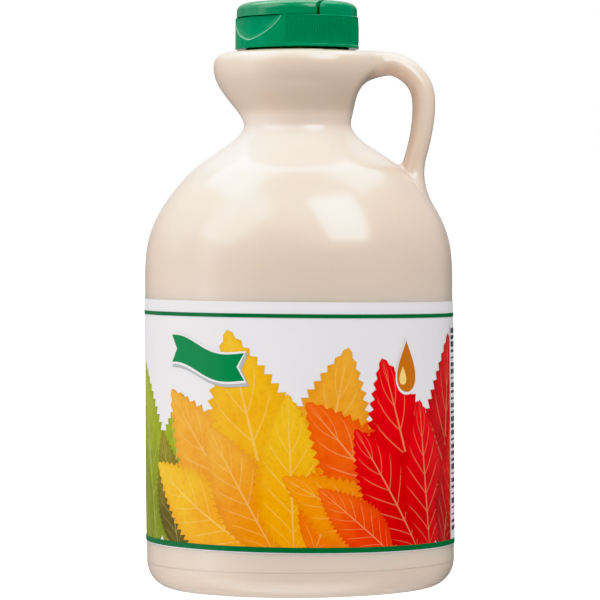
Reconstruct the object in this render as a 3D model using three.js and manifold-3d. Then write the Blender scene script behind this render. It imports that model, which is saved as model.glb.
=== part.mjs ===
// A one-litre syrup jug: cream blow-moulded body with a handle at the neck,
// green flip-top closure and a wrap-around paper label.
// Millimetres, +Z up, origin at the middle of the base, handle towards +X.

import * as THREE from "three";
import { mergeVertices } from "three/addons/utils/BufferGeometryUtils.js";
import Module from "manifold-3d";

// Jug body
const BODY_R = 50.15;
const FOOT_R = 41.8;
const FOOT_RING = 6;
const PUSH_UP = 1.5;
const HEEL_RISE = 9.0;
const WALL_TOP_Z = 99.2;
const SHOULDER_END = [35.9, 134.0];
const SHOULDER_SLOPE_DEG = 46.2;
const WAIST = [17.5, 150.1];
const COLLAR = [27.3, 168.9];
const COLLAR_TOP_Z = 174.0;
const COLLAR_FLAT_R = 18.7;
const NECK_R = 17.0;
const ROUND_SIDES = 64;

// Handle and the finger gap behind it
const HANDLE_WIDTH = 13.0;
const HANDLE_THICK = 7.7;
const HANDLE_STEPS = 28;
const HANDLE_SIDES = 28;
const GAP_CENTRE = [28.2, 155.0];
const GAP_HALF = [9.3, 11.4];

// Closure
const CAP_BOTTOM_Z = 174.75;
const CAP_PART_Z = 185.0;
const CAP_LIP_H = 0.7;
const SKIRT_R = 20.1;
const RIB_PITCH_DEG = 360 / 156;
const RIB_DEPTH = 0.3;
const PLAIN_HALF_DEG = 39;
const DOME_R = 19.75;
const DOME_EDGE_Z = 187.4;
const DOME_TOP_Z = 190.3;
const THUMB_DEG = 219.5;
const SCOOP_HALF_WIDTH = 11.4;
const SCOOP_DROP = 7.2;
const SCOOP_DEPTH = 1.3;
const HINGE_BACK = 8.7;
const HINGE_HALF = 11.6;
const SLIT_SLOPE = 0.466;
const SLIT_WIDTH = 0.65;
const LID_FIT = 0.05;

// Label
const LABEL_BOTTOM_Z = 14.6;
const LABEL_TOP_Z = 93.3;
const LABEL_GAP = 0.08;
const LABEL_THICK = 0.2;
const LABEL_SKEW = 0.0148;
const LABEL_SIDES = 96;

const { Manifold, Mesh } = await init();

async function init() {
  const wasm = await Module();
  wasm.setup();
  return wasm;
}

// Turns a closed three.js shape into a manifold solid.
function solid(geometry) {
  const bare = new THREE.BufferGeometry();
  bare.setAttribute("position", geometry.getAttribute("position"));
  if (geometry.index) bare.setIndex(geometry.index);
  const welded = mergeVertices(bare, 1e-4);
  const triangles = [];
  const index = welded.index.array;
  for (let i = 0; i < index.length; i += 3) {
    const [a, b, c] = [index[i], index[i + 1], index[i + 2]];
    if (a !== b && b !== c && c !== a) triangles.push(a, b, c);
  }
  return new Manifold(new Mesh({
    numProp: 3,
    vertProperties: new Float32Array(welded.getAttribute("position").array),
    triVerts: new Uint32Array(triangles),
  }));
}

// Turns a manifold solid back into a three.js geometry.
function geometryOf(body) {
  const mesh = body.getMesh();
  const geometry = new THREE.BufferGeometry();
  const points = new Float32Array(mesh.numVert * 3);
  for (let i = 0; i < mesh.numVert; i += 1) {
    for (let k = 0; k < 3; k += 1) {
      points[3 * i + k] = mesh.vertProperties[mesh.numProp * i + k];
    }
  }
  geometry.setAttribute("position", new THREE.BufferAttribute(points, 3));
  geometry.setIndex(Array.from(mesh.triVerts));
  geometry.computeVertexNormals();
  return geometry;
}

// Spins a profile of (radius, height) points about the Z axis.
function spin(profile, sides) {
  const points = profile.map(([r, z]) => new THREE.Vector2(r, z));
  return new THREE.LatheGeometry(points, sides).rotateX(Math.PI / 2);
}

// Points along a cubic curve, without its first one.
function curvePoints(a, b, c, d, count) {
  const curve = new THREE.CubicBezierCurve(
    new THREE.Vector2(...a),
    new THREE.Vector2(...b),
    new THREE.Vector2(...c),
    new THREE.Vector2(...d),
  );
  return curve.getPoints(count).slice(1).map((p) => [Math.max(p.x, 0), p.y]);
}

function jugProfile() {
  const slope = THREE.MathUtils.degToRad(SHOULDER_SLOPE_DEG);
  const lean = [-Math.cos(slope), Math.sin(slope)];
  const along = (from, by) => [from[0] + lean[0] * by, from[1] + lean[1] * by];
  const profile = [
    [0, PUSH_UP],
    [FOOT_R - FOOT_RING - 3, PUSH_UP],
    [FOOT_R - FOOT_RING, 0],
    [FOOT_R, 0],
  ];
  const heelSteps = 6;
  for (let i = 1; i <= heelSteps; i += 1) {
    const turn = (i / heelSteps) * Math.PI / 2;
    const r = FOOT_R + (BODY_R - FOOT_R) * Math.sin(turn);
    profile.push([r, HEEL_RISE * (1 - Math.cos(turn))]);
  }
  profile.push([BODY_R, WALL_TOP_Z]);
  profile.push(...curvePoints(
    [BODY_R, WALL_TOP_Z],
    [BODY_R, WALL_TOP_Z + 10.9],
    along(SHOULDER_END, -20),
    SHOULDER_END,
    9,
  ));
  profile.push(...curvePoints(
    SHOULDER_END,
    along(SHOULDER_END, 7.7),
    [WAIST[0], WAIST[1] - 4.6],
    WAIST,
    7,
  ));
  profile.push(...curvePoints(
    WAIST,
    [WAIST[0], WAIST[1] + 4.7],
    [COLLAR[0], COLLAR[1] - 7.95],
    COLLAR,
    7,
  ));
  profile.push(...curvePoints(
    COLLAR,
    [COLLAR[0], COLLAR[1] + 4.0],
    [COLLAR_FLAT_R + 3.4, COLLAR_TOP_Z],
    [COLLAR_FLAT_R, COLLAR_TOP_Z],
    5,
  ));
  profile.push([NECK_R, COLLAR_TOP_Z]);
  profile.push([NECK_R, CAP_BOTTOM_Z]);
  profile.push([0, CAP_BOTTOM_Z]);
  return profile;
}

// The middle of the handle, from inside the collar round to inside the shoulder.
function handlePath() {
  return new THREE.CatmullRomCurve3([
    [14.0, 169.0], [22.0, 170.2], [29.5, 170.2], [34.6, 168.7], [38.5, 165.6],
    [40.7, 161.6], [41.3, 156.8], [40.8, 151.0], [39.5, 144.8], [37.8, 138.8],
    [36.2, 133.6], [34.8, 129.0],
  ].map(([x, z]) => new THREE.Vector3(x, 0, z)), false, "centripetal");
}

// Stands an extrusion made in the XY plane up in the XZ plane, centred on Y.
function standUp(geometry, width) {
  return geometry.translate(0, 0, -width / 2).rotateX(Math.PI / 2);
}

function makeJug() {
  const section = new THREE.Shape();
  section.absellipse(0, 0, HANDLE_WIDTH / 2, HANDLE_THICK / 2, 0, 2 * Math.PI);
  const handle = new THREE.ExtrudeGeometry(section, {
    steps: HANDLE_STEPS,
    curveSegments: HANDLE_SIDES / 2,
    bevelEnabled: false,
    extrudePath: handlePath(),
  });
  const gapShape = new THREE.Shape();
  gapShape.absellipse(...GAP_CENTRE, ...GAP_HALF, 0, 2 * Math.PI);
  const gapDepth = 60;
  const gap = standUp(new THREE.ExtrudeGeometry(gapShape, {
    depth: gapDepth,
    steps: 1,
    bevelEnabled: false,
    curveSegments: 40,
  }), gapDepth);
  const body = solid(spin(jugProfile(), ROUND_SIDES));
  return geometryOf(body.subtract(solid(gap)).add(solid(handle)));
}

// Outline of the skirt in plan, ribbed except on the plain panel.
function skirtShape() {
  const shape = new THREE.Shape();
  const count = Math.round(360 / RIB_PITCH_DEG);
  const place = (deg, r) => {
    const a = THREE.MathUtils.degToRad(deg);
    return [r * Math.cos(a), r * Math.sin(a)];
  };
  let started = false;
  for (let i = 0; i < count; i += 1) {
    const deg = THUMB_DEG + i * RIB_PITCH_DEG;
    const off = Math.min(i, count - i) * RIB_PITCH_DEG;
    const plain = off <= PLAIN_HALF_DEG;
    const spots = plain
      ? [[deg, SKIRT_R]]
      : [[deg - RIB_PITCH_DEG * 0.22, SKIRT_R], [deg + RIB_PITCH_DEG * 0.28, SKIRT_R - RIB_DEPTH]];
    for (const [d, r] of spots) {
      const p = place(d, r);
      if (started) shape.lineTo(...p);
      else shape.moveTo(...p);
      started = true;
    }
  }
  shape.closePath();
  return shape;
}

// The lid's outline in plan, pointing towards the thumb side.
function flapShape(grow) {
  const slant = grow * Math.hypot(1, SLIT_SLOPE);
  const hinge = -HINGE_BACK - grow;
  const reach = 30;
  const half = (u) => HINGE_HALF + SLIT_SLOPE * (u + HINGE_BACK) + slant;
  const corner = 12;
  return new THREE.Shape([
    [hinge, -half(hinge)],
    [corner, -half(corner)],
    [reach, -half(corner)],
    [reach, half(corner)],
    [corner, half(corner)],
    [hinge, half(hinge)],
  ].map(([x, y]) => new THREE.Vector2(x, y)));
}

function flapPrism(grow) {
  const prism = new THREE.ExtrudeGeometry(flapShape(grow), {
    depth: 12,
    steps: 1,
    bevelEnabled: false,
  });
  prism.rotateZ(THREE.MathUtils.degToRad(THUMB_DEG));
  return solid(prism.translate(0, 0, CAP_PART_Z));
}

function domeProfile() {
  return [
    [0, CAP_PART_Z],
    [DOME_R, CAP_PART_Z],
    [DOME_R - 0.1, DOME_EDGE_Z],
    ...curvePoints(
      [DOME_R - 0.1, DOME_EDGE_Z],
      [DOME_R - 0.3, DOME_EDGE_Z + 1.5],
      [DOME_R - 1.6, DOME_TOP_Z - 0.3],
      [DOME_R - 5, DOME_TOP_Z - 0.15],
      5,
    ),
    [0, DOME_TOP_Z],
  ];
}

function makeClosure() {
  const lip = new THREE.CylinderGeometry(SKIRT_R, SKIRT_R, CAP_LIP_H, 96)
    .rotateX(Math.PI / 2)
    .translate(0, 0, CAP_BOTTOM_Z + CAP_LIP_H / 2);
  const skirt = new THREE.ExtrudeGeometry(skirtShape(), {
    depth: CAP_PART_Z - CAP_BOTTOM_Z - CAP_LIP_H / 2,
    steps: 1,
    bevelEnabled: false,
  }).translate(0, 0, CAP_BOTTOM_Z + CAP_LIP_H / 2);
  const scoop = new THREE.SphereGeometry(1, 36, 18)
    .scale(SCOOP_DEPTH, SCOOP_HALF_WIDTH, SCOOP_DROP)
    .translate(SKIRT_R, 0, CAP_PART_Z)
    .rotateZ(THREE.MathUtils.degToRad(THUMB_DEG));
  const dome = solid(spin(domeProfile(), 72));
  const rear = dome.subtract(flapPrism(SLIT_WIDTH));
  const base = solid(skirt).add(solid(lip)).subtract(solid(scoop));
  return {
    cap: geometryOf(base.add(rear)),
    lid: geometryOf(dome.intersect(flapPrism(-LID_FIT))),
  };
}

function makeLabel() {
  const inner = BODY_R + LABEL_GAP;
  const outer = inner + LABEL_THICK;
  const ring = spin([
    [inner, LABEL_BOTTOM_Z],
    [outer, LABEL_BOTTOM_Z],
    [outer, LABEL_TOP_Z],
    [inner, LABEL_TOP_Z],
    [inner, LABEL_BOTTOM_Z],
  ], LABEL_SIDES);
  const skew = new THREE.Matrix4().set(
    1, 0, 0, 0,
    0, 1, 0, 0,
    -LABEL_SKEW, 0, 1, 0,
    0, 0, 0, 1,
  );
  return ring.applyMatrix4(skew);
}

function node(name, geometry, color, roughness) {
  const material = new THREE.MeshStandardMaterial({ color, roughness, metalness: 0 });
  const mesh = new THREE.Mesh(geometry, material);
  mesh.name = name;
  return mesh;
}

const closure = makeClosure();
const jug = new THREE.Group();
jug.name = "syrup_jug";
jug.add(node("jug", makeJug(), 0xe6d6c3, 0.4));
jug.add(node("cap", closure.cap, 0x007a4b, 0.3));
jug.add(node("flip_lid", closure.lid, 0x008352, 0.25));
jug.add(node("label", makeLabel(), 0xf4f1ea, 0.5));

export default jug;
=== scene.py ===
import math

import bpy
import numpy as np
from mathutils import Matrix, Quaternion, Vector


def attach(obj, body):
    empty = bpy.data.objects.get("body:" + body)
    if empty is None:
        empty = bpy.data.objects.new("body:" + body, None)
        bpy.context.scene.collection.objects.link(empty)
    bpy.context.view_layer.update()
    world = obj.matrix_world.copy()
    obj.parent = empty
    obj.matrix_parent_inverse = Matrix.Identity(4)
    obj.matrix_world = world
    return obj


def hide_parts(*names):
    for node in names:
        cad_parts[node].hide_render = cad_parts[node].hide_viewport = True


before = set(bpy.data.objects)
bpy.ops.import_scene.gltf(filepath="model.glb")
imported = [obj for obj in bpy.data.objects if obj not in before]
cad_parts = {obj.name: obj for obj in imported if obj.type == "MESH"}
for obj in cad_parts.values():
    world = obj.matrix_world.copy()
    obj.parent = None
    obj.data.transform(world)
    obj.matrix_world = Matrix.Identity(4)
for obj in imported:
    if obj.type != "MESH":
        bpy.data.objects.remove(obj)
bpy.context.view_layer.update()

# Sizes are in millimetres, as in the part's source; meshes are written in metres.
MM = 0.001

# Jug
BODY_R = 50.15
FOOT_R = 41.8
FOOT_RING = 6.0
PUSH_UP = 1.5
HEEL_RISE = 9.0
WALL_TOP_Z = 99.2
SHOULDER_END = (35.9, 134.0)
SHOULDER_SLOPE = math.radians(46.2)
WAIST = (17.5, 150.1)
COLLAR = (27.3, 168.9)
COLLAR_TOP_Z = 174.0
COLLAR_FLAT_R = 18.7
NECK_R = 17.0
NECK_HALF_H = 3.0
FILL_Z = 127.0

# Handle and finger gap
HANDLE_PATH = (
    (14.0, 169.0), (22.0, 170.2), (29.5, 170.2), (34.5, 168.5), (38.3, 165.4), (40.5, 161.5),
    (41.15, 156.8), (40.8, 151.0), (39.7, 144.8), (38.1, 138.8), (36.5, 133.6), (34.8, 129.0),
)
HANDLE_HALF = (3.85, 6.5)
HANDLE_SLIM = 0.3
SLIM_BELOW_Z = (160.0, 144.0)
SLIM_ABOVE_Z = (130.0, 138.0)
HANDLE_ZONE = (8.0, 30.0, 118.0)
GAP_CENTRE = (28.2, 155.0)
GAP_HALF = (9.5, 11.6)
GAP_EDGE_ROUND = 3.0
COLLAR_BLEND = 4.5
SHOULDER_BLEND = 2.6
FOOT_BLEND = 8.0
FOOT_SPREAD_X = (35.5, 40.5)
COLLAR_JOIN_Z = (144.0, 158.0)
HANDLE_TOP_Z = COLLAR_TOP_Z + 0.3
HANDLE_TOP_ROUND = 1.4

# Closure
CAP_BOTTOM_Z = 174.75
CAP_PART_Z = 185.0
CAP_LIP_H = 0.7
SKIRT_R = 20.1
SKIRT_DRAFT = 0.012
RIB_COUNT = 156
RIB_DEPTH = 0.24
RIB_WIDTH = 0.58
RIB_END_GAP = 0.35
RIB_FADE = 0.3
PLAIN_HALF = math.radians(39.5)
PLAIN_FADE = 0.012
DOME_R = 19.75
DOME_EDGE_Z = 187.4
DOME_TOP_Z = 190.3
THUMB_TURN = math.radians(219.5)
SCOOP_TOP_Z = CAP_PART_Z + 0.2
SCOOP_HALF_WIDTH = 12.6
SCOOP_DROP = 7.9
SCOOP_BOW = 1.5
SCOOP_DEPTH = 1.3
SCOOP_RIM = 0.12
HINGE_BACK = 8.7
HINGE_HALF = 11.0
SLIT_SLOPE = 0.466
SLIT_WIDTH = 0.65
EDGE_ROUND = 0.3

# Label
LABEL_BOTTOM_Z = 14.6
LABEL_TOP_Z = 93.3
LABEL_R = BODY_R + 0.14
LABEL_THICK = 0.12
LABEL_SKEW = 0.0148
LABEL_H = LABEL_TOP_Z - LABEL_BOTTOM_Z
INK = 0.012


def link_mesh(name, points, faces, material, smooth=True):
    """Makes a mesh object from points in millimetres."""
    mesh = bpy.data.meshes.new(name)
    mesh.from_pydata((np.asarray(points) * MM).tolist(), [], faces)
    mesh.materials.append(material)
    if smooth:
        mesh.shade_smooth()
    mesh.update()
    piece = bpy.data.objects.new(name, mesh)
    bpy.context.scene.collection.objects.link(piece)
    return piece


def finish_piece(piece, slot, *nodes):
    """Carries a piece on the jug and hides the parts it stands in for."""
    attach(piece, "root")
    if nodes:
        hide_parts(*nodes)


# Node helpers

def add(tree, kind, inputs=(), **settings):
    """Adds a node, with its inputs by name or in order."""
    node = tree.nodes.new(kind)
    for key, value in settings.items():
        setattr(node, key, value)
    pairs = inputs.items() if isinstance(inputs, dict) else enumerate(inputs)
    for key, value in pairs:
        if isinstance(value, bpy.types.NodeSocket):
            tree.links.new(value, node.inputs[key])
        elif value is not None:
            node.inputs[key].default_value = value
    return node


def calc(tree, operation, *values):
    return add(tree, "ShaderNodeMath", values, operation=operation).outputs[0]


def ramp(tree, value, low, high, to_low=0.0, to_high=1.0):
    """Maps a value smoothly from one range to another."""
    node = add(tree, "ShaderNodeMapRange", (value, low, high, to_low, to_high))
    node.interpolation_type = "SMOOTHSTEP"
    return node.outputs[0]


def blend_colour(tree, factor, first, second, mode="MIX"):
    node = add(tree, "ShaderNodeMix", data_type="RGBA", blend_type=mode)
    for socket, value in ((node.inputs[0], factor), (node.inputs[6], first), (node.inputs[7], second)):
        if isinstance(value, bpy.types.NodeSocket):
            tree.links.new(value, socket)
        else:
            socket.default_value = value
    return node.outputs[2]


def new_material(name, **values):
    """A Principled material with its constant values set on its own sockets."""
    material = bpy.data.materials.new(name)
    material.use_nodes = True
    tree = material.node_tree
    shader = tree.nodes["Principled BSDF"]
    for key, value in values.items():
        shader.inputs[key.replace("_", " ")].default_value = value
    return material, tree, shader


def noise(tree, scale, detail=3.0, roughness=0.5, coordinate=None):
    where = coordinate or add(tree, "ShaderNodeTexCoord").outputs["Object"]
    inputs = {"Vector": where, "Scale": scale, "Detail": detail, "Roughness": roughness}
    return add(tree, "ShaderNodeTexNoise", inputs).outputs["Fac"]


def bump(tree, shader, height, strength, distance):
    node = add(tree, "ShaderNodeBump", {"Height": height, "Strength": strength, "Distance": distance * MM})
    tree.links.new(node.outputs[0], shader.inputs["Normal"])


# Materials

def jug_plastic():
    """Thin-walled plastic, lighter round the neck as painted light for the light that comes through its
    empty wall, and a little greyer and darker over the collar.
    """
    material, tree, shader = new_material(
        "satin_cream_plastic",
        Specular_IOR_Level=0.75,
        IOR=1.55,
        Subsurface_Weight=0.5,
        Subsurface_Radius=(0.012, 0.008, 0.0055),
        Subsurface_Scale=1.0,
    )
    place = add(tree, "ShaderNodeTexCoord").outputs["Object"]
    x, y, height = add(tree, "ShaderNodeSeparateXYZ", (place,)).outputs
    squares = calc(tree, "ADD", calc(tree, "MULTIPLY", x, x), calc(tree, "MULTIPLY", y, y))
    from_axis = calc(tree, "SQRT", squares)
    cloud = ramp(tree, noise(tree, 28.0, 2.0, coordinate=place), 0.3, 0.7)
    filled = blend_colour(tree, cloud, (0.71, 0.576, 0.473, 1), (0.73, 0.591, 0.488, 1))
    # Painted light: the neck between the fill level and the collar is made lighter, standing for light that
    # comes through its empty wall.
    above_fill = ramp(tree, height, FILL_Z * MM, (WAIST[1] - 1.0) * MM)
    below_collar = ramp(tree, height, (WAIST[1] + 2.0) * MM, (WAIST[1] + 6.5) * MM, 1.0, 0.0)
    off_handle = ramp(tree, from_axis, 31.0 * MM, 36.5 * MM, 1.0, 0.0)
    empty = calc(tree, "MULTIPLY", calc(tree, "MULTIPLY", above_fill, below_collar), off_handle)
    colour = blend_colour(tree, empty, filled, (0.882, 0.752, 0.656, 1))
    # Greyer and a little darker from just above the waist up, over the collar.
    above_waist = ramp(tree, height, (WAIST[1] + 3.0) * MM, (WAIST[1] + 9.0) * MM)
    collar = calc(tree, "MULTIPLY", above_waist, off_handle)
    colour = blend_colour(tree, collar, colour, (0.69, 0.57, 0.472, 1))
    tree.links.new(colour, shader.inputs["Base Color"])
    tree.links.new(ramp(tree, noise(tree, 40.0, 2.0), 0.2, 0.8, 0.15, 0.19), shader.inputs["Roughness"])
    bump(tree, shader, noise(tree, 260.0, 1.0), 0.05, 0.05)
    return material


def cap_plastic(name, colour, roughness, gloss):
    """Closure plastic, slightly uneven in colour and gloss."""
    material, tree, shader = new_material(name, Specular_IOR_Level=gloss, IOR=1.49)
    cloud = noise(tree, 120.0, 2.0)
    darker = tuple(0.9 * c for c in colour[:3]) + (1,)
    tree.links.new(blend_colour(tree, cloud, darker, colour), shader.inputs["Base Color"])
    uneven = ramp(tree, noise(tree, 300.0), 0.3, 0.7, roughness, roughness + 0.05)
    tree.links.new(uneven, shader.inputs["Roughness"])
    bump(tree, shader, noise(tree, 900.0), 0.1, 0.03)
    return material


def label_paper():
    material, tree, shader = new_material("coated_label_paper", Specular_IOR_Level=0.45)
    cloud = noise(tree, 60.0, 2.0)
    colour = blend_colour(tree, cloud, (0.765, 0.738, 0.754, 1), (0.80, 0.773, 0.789, 1))
    tree.links.new(colour, shader.inputs["Base Color"])
    tree.links.new(ramp(tree, noise(tree, 240.0), 0.3, 0.7, 0.36, 0.44), shader.inputs["Roughness"])
    bump(tree, shader, noise(tree, 1500.0, 2.0), 0.08, 0.02)
    return material


def flat_ink(name, colour):
    """One printed colour, slightly uneven."""
    material, tree, shader = new_material(name, Specular_IOR_Level=0.3)
    cloud = noise(tree, 200.0, 3.0)
    lighter = tuple(min(1.0, 1.06 * c + 0.004) for c in colour[:3]) + (1,)
    tree.links.new(blend_colour(tree, cloud, colour, lighter), shader.inputs["Base Color"])
    uneven = ramp(tree, noise(tree, 500.0), 0.3, 0.7, 0.34, 0.42)
    tree.links.new(uneven, shader.inputs["Roughness"])
    return material


def leaf_ink():
    """Printed leaves: a tint from stem to tip, with pale veins and mottling."""
    material, tree, shader = new_material("printed_leaf_ink", Specular_IOR_Level=0.25)
    root = add(tree, "ShaderNodeAttribute", attribute_name="root_tint").outputs["Color"]
    tip = add(tree, "ShaderNodeAttribute", attribute_name="tip_tint").outputs["Color"]
    place = add(tree, "ShaderNodeAttribute", attribute_name="leaf_place").outputs["Vector"]
    split = add(tree, "ShaderNodeSeparateXYZ", (place,)).outputs
    along, across = split[0], calc(tree, "ABSOLUTE", split[1])
    mottle = noise(tree, 130.0, 5.0, 0.6)
    fine = noise(tree, 700.0, 4.0, 0.6)
    shift = calc(tree, "ADD", along, calc(tree, "MULTIPLY", calc(tree, "SUBTRACT", mottle, 0.5), 0.9))
    colour = blend_colour(tree, ramp(tree, shift, 0.15, 0.95), root, tip)
    dark = blend_colour(tree, 1.0, colour, (0.74, 0.66, 0.55, 1), "MULTIPLY")
    colour = blend_colour(tree, ramp(tree, fine, 0.46, 0.8, 0.0, 0.55), colour, dark)
    edge = ramp(tree, across, 0.7, 1.0, 0.0, 0.35)
    colour = blend_colour(tree, edge, colour, dark)
    middle = ramp(tree, across, 0.012, 0.045, 1.0, 0.0)
    rise = calc(tree, "SUBTRACT", calc(tree, "MULTIPLY", along, 8.0), calc(tree, "MULTIPLY", across, 1.9))
    phase = calc(tree, "PINGPONG", rise, 0.5)
    on_line = ramp(tree, phase, 0.02, 0.06, 1.0, 0.0)
    side = calc(tree, "MULTIPLY", on_line, ramp(tree, across, 0.55, 0.95, 0.75, 0.0))
    vein = calc(tree, "MAXIMUM", middle, side)
    pale = blend_colour(tree, 0.42, colour, (0.95, 0.72, 0.30, 1))
    colour = blend_colour(tree, calc(tree, "MULTIPLY", vein, 0.7), colour, pale)
    tree.links.new(colour, shader.inputs["Base Color"])
    tree.links.new(ramp(tree, fine, 0.3, 0.7, 0.34, 0.42), shader.inputs["Roughness"])
    return material


# Fields whose zero level is a surface

def smooth_min(a, b, k):
    h = np.maximum(k - np.abs(a - b), 0.0) / k
    return np.minimum(a, b) - h * h * k * 0.25


def smooth_max(a, b, k):
    return -smooth_min(-a, -b, k)


def fade(value, start, end):
    """Goes evenly from nought at the start to one at the end."""
    return np.clip((value - start) / (end - start), 0.0, 1.0)


def eased(value, start, end):
    """Goes smoothly from nought at the start to one at the end."""
    t = fade(value, start, end)
    return t * t * (3 - 2 * t)


def cubic(a, b, c, d, count):
    """Points along a cubic curve, without its first one."""
    t = np.linspace(0.0, 1.0, count + 1)[1:, None]
    a, b, c, d = (np.array(p, float) for p in (a, b, c, d))
    return (1 - t) ** 3 * a + 3 * (1 - t) ** 2 * t * b + 3 * (1 - t) * t ** 2 * c + t ** 3 * d


def outline_distance(r, z, outline):
    """Signed distance to a closed outline, negative inside."""
    best = np.full(r.shape, np.inf)
    inside = np.zeros(r.shape, bool)
    for (r0, z0), (r1, z1) in zip(outline, np.roll(outline, -1, axis=0)):
        dr, dz = r1 - r0, z1 - z0
        t = np.clip(((r - r0) * dr + (z - z0) * dz) / (dr * dr + dz * dz), 0.0, 1.0)
        best = np.minimum(best, (r - r0 - t * dr) ** 2 + (z - z0 - t * dz) ** 2)
        if dz != 0.0:
            inside ^= ((z0 > z) != (z1 > z)) & (r < r0 + (z - z0) * dr / dz)
    return np.where(inside, -1.0, 1.0) * np.sqrt(best)


def turned_distance(x, y, z, outline):
    """Signed distance to a turned body; on a grid it is the same at every turn."""
    r = np.hypot(x, y)
    if r.ndim == 1:
        return outline_distance(r, z, outline)
    return np.repeat(outline_distance(r[:1], z[:1], outline), len(r), axis=0)


def ellipse_distance(a, b, half_a, half_b):
    """Near-distance to an ellipse, negative inside."""
    k0 = np.hypot(a / half_a, b / half_b)
    k1 = np.hypot(a / half_a ** 2, b / half_b ** 2)
    return k0 * (k0 - 1.0) / np.maximum(k1, 1e-9)


def path_distance(x, z, path):
    """Distance to an open path."""
    best = np.full(x.shape, np.inf)
    for (x0, z0), (x1, z1) in zip(path[:-1], path[1:]):
        dx, dz = x1 - x0, z1 - z0
        t = np.clip(((x - x0) * dx + (z - z0) * dz) / (dx * dx + dz * dz), 0.0, 1.0)
        best = np.minimum(best, (x - x0 - t * dx) ** 2 + (z - z0 - t * dz) ** 2)
    return np.sqrt(best)


def through(points, per_span):
    """A smooth path through points."""
    p = np.array(points, float)
    p = np.vstack([2 * p[0] - p[1], p, 2 * p[-1] - p[-2]])
    t = np.linspace(0.0, 1.0, per_span, endpoint=False)[:, None]
    spans = []
    for a, b, c, d in zip(p[:-3], p[1:-2], p[2:-1], p[3:]):
        spans.append(b + 0.5 * t * (c - a + t * (2 * a - 5 * b + 4 * c - d + t * (3 * (b - c) + d - a))))
    return np.vstack(spans + [p[-2:-1]])


def jug_outline():
    """Half the jug's section, from past its axis under the base round to past its axis on the collar."""
    lean = np.array((-math.cos(SHOULDER_SLOPE), math.sin(SHOULDER_SLOPE)))
    end = np.array(SHOULDER_END)
    turn = np.linspace(0.0, math.pi / 2, 40)[1:]
    heel = np.column_stack((FOOT_R + (BODY_R - FOOT_R) * np.sin(turn), HEEL_RISE * (1 - np.cos(turn))))
    ring = FOOT_R - FOOT_RING
    far = -30.0
    return np.vstack([
        [(far, PUSH_UP), (ring - 3.0, PUSH_UP)],
        cubic((ring - 3.0, PUSH_UP), (ring - 1.2, PUSH_UP), (ring - 1.6, 0.0), (ring, 0.0), 8),
        [(FOOT_R, 0.0)],
        heel,
        [(BODY_R, WALL_TOP_Z)],
        cubic((BODY_R, WALL_TOP_Z), (BODY_R, WALL_TOP_Z + 10.9), end - 20.0 * lean, end, 60),
        cubic(end, end + 7.7 * lean, (WAIST[0], WAIST[1] - 4.6), WAIST, 40),
        cubic(WAIST, (WAIST[0], WAIST[1] + 4.7), (COLLAR[0], COLLAR[1] - 7.95), COLLAR, 40),
        cubic(COLLAR, (COLLAR[0], COLLAR[1] + 4.5), (COLLAR_FLAT_R + 5.8, COLLAR_TOP_Z),
              (COLLAR_FLAT_R, COLLAR_TOP_Z), 24),
        [(far, COLLAR_TOP_Z)],
    ])


JUG_OUTLINE = jug_outline()
HANDLE_LINE = through(HANDLE_PATH, 6)


def jug_field(x, y, z):
    """The turned body, with the finger gap cut from it and the handle blended on."""
    r = np.hypot(x, y)
    body = turned_distance(x, y, z, JUG_OUTLINE)
    near = (x > HANDLE_ZONE[0]) & (np.abs(y) < HANDLE_ZONE[1]) & (z > HANDLE_ZONE[2])
    value = body.copy()
    xn, yn, zn = x[near], y[near], z[near]
    gap = ellipse_distance(xn - GAP_CENTRE[0], zn - GAP_CENTRE[1], *GAP_HALF)
    cut = smooth_max(body[near], -gap, GAP_EDGE_ROUND)
    half_thick = HANDLE_HALF[0] - HANDLE_SLIM * fade(zn, *SLIM_BELOW_Z) * fade(zn, *SLIM_ABOVE_Z)
    handle = ellipse_distance(path_distance(xn, zn, HANDLE_LINE), yn, half_thick, HANDLE_HALF[1])
    foot = SHOULDER_BLEND + (FOOT_BLEND - SHOULDER_BLEND) * eased(xn, *FOOT_SPREAD_X)
    blend = foot + (COLLAR_BLEND - foot) * eased(zn, *COLLAR_JOIN_Z)
    joined = smooth_min(cut, handle, blend)
    value[near] = smooth_max(joined, zn - HANDLE_TOP_Z, HANDLE_TOP_ROUND)
    neck = np.maximum(r - NECK_R, np.abs(z - CAP_BOTTOM_Z + NECK_HALF_H) - NECK_HALF_H)
    return np.minimum(value, neck)


def dome_outline():
    """Half the closure dome's section."""
    far = -30.0
    return np.vstack([
        [(far, CAP_PART_Z + 0.1), (DOME_R, CAP_PART_Z + 0.1), (DOME_R - 0.1, DOME_EDGE_Z)],
        cubic((DOME_R - 0.1, DOME_EDGE_Z), (DOME_R - 0.3, DOME_EDGE_Z + 1.5),
              (DOME_R - 1.6, DOME_TOP_Z - 0.3), (DOME_R - 5.0, DOME_TOP_Z - 0.15), 24),
        [(0.0, DOME_TOP_Z), (far, DOME_TOP_Z)],
    ])


DOME_OUTLINE = dome_outline()


def flap_field(x, y):
    """Negative over the lid, seen from above."""
    along = x * math.cos(THUMB_TURN) + y * math.sin(THUMB_TURN)
    across = np.abs(y * math.cos(THUMB_TURN) - x * math.sin(THUMB_TURN))
    slant = (across - HINGE_HALF - SLIT_SLOPE * (along + HINGE_BACK)) / math.hypot(1.0, SLIT_SLOPE)
    return smooth_max(slant, -(along + HINGE_BACK), 1.2)


def lid_field(x, y, z):
    """The part of the dome that lifts."""
    dome = turned_distance(x, y, z, DOME_OUTLINE)
    return smooth_max(dome, flap_field(x, y) + 0.05, EDGE_ROUND)


def turn_from(x, y, centre):
    """Angle from a direction, between minus and plus half a turn."""
    return np.arctan2(
        y * math.cos(centre) - x * math.sin(centre),
        x * math.cos(centre) + y * math.sin(centre),
    )


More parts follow.
